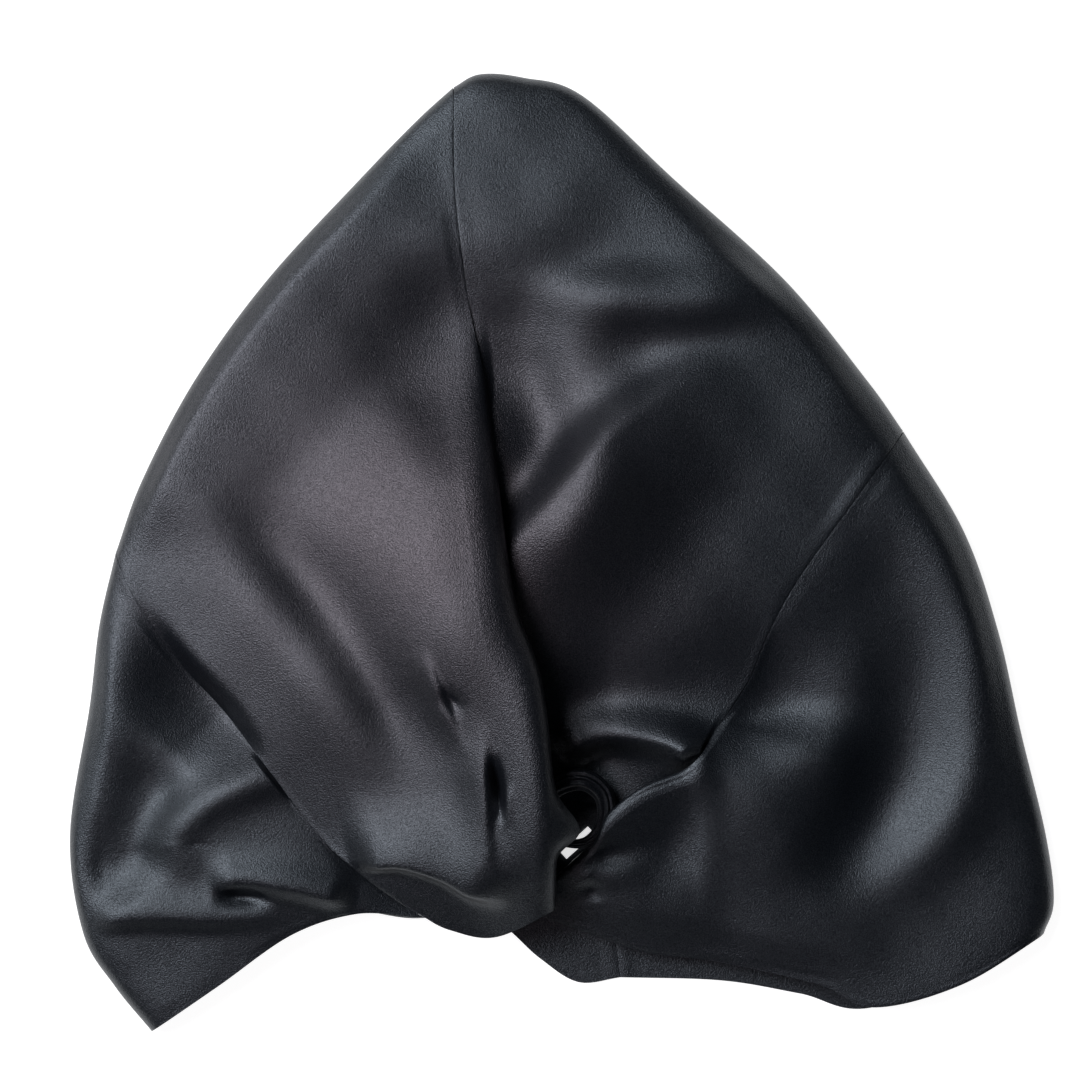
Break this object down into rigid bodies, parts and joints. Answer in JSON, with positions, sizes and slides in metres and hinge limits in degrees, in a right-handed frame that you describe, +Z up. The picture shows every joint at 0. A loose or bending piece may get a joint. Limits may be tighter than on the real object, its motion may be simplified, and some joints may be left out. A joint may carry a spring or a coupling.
{
  "type": "silk bonnet",
  "caption": "Twist-front satin bonnet lying flat on its back: seamed crown and band panels, linked front loops, hollow inside and open at the hem.",
  "frame": {"origin": "on the table under the middle of the bonnet as it lies on its back", "axes": "+Z up from the table through the twist, +X across the width, +Y towards the tip of the crown"},
  "size_m": [0.301, 0.2927, 0.0398],
  "materials": {
    "satin_front": "black satin with a soft cool sheen",
    "satin_back": "black satin, its duller side and shaded folds",
    "tape": "plain white woven tape"
  },
  "bodies": {
    "root": {"crown_left": "satin_front", "crown_right": "satin_front", "band_left": "satin_front", "band_right": "satin_front", "back_left": "satin_back", "back_right": "satin_back", "twist_core": "satin_back", "label": "tape"}
  },
  "joints": []
}
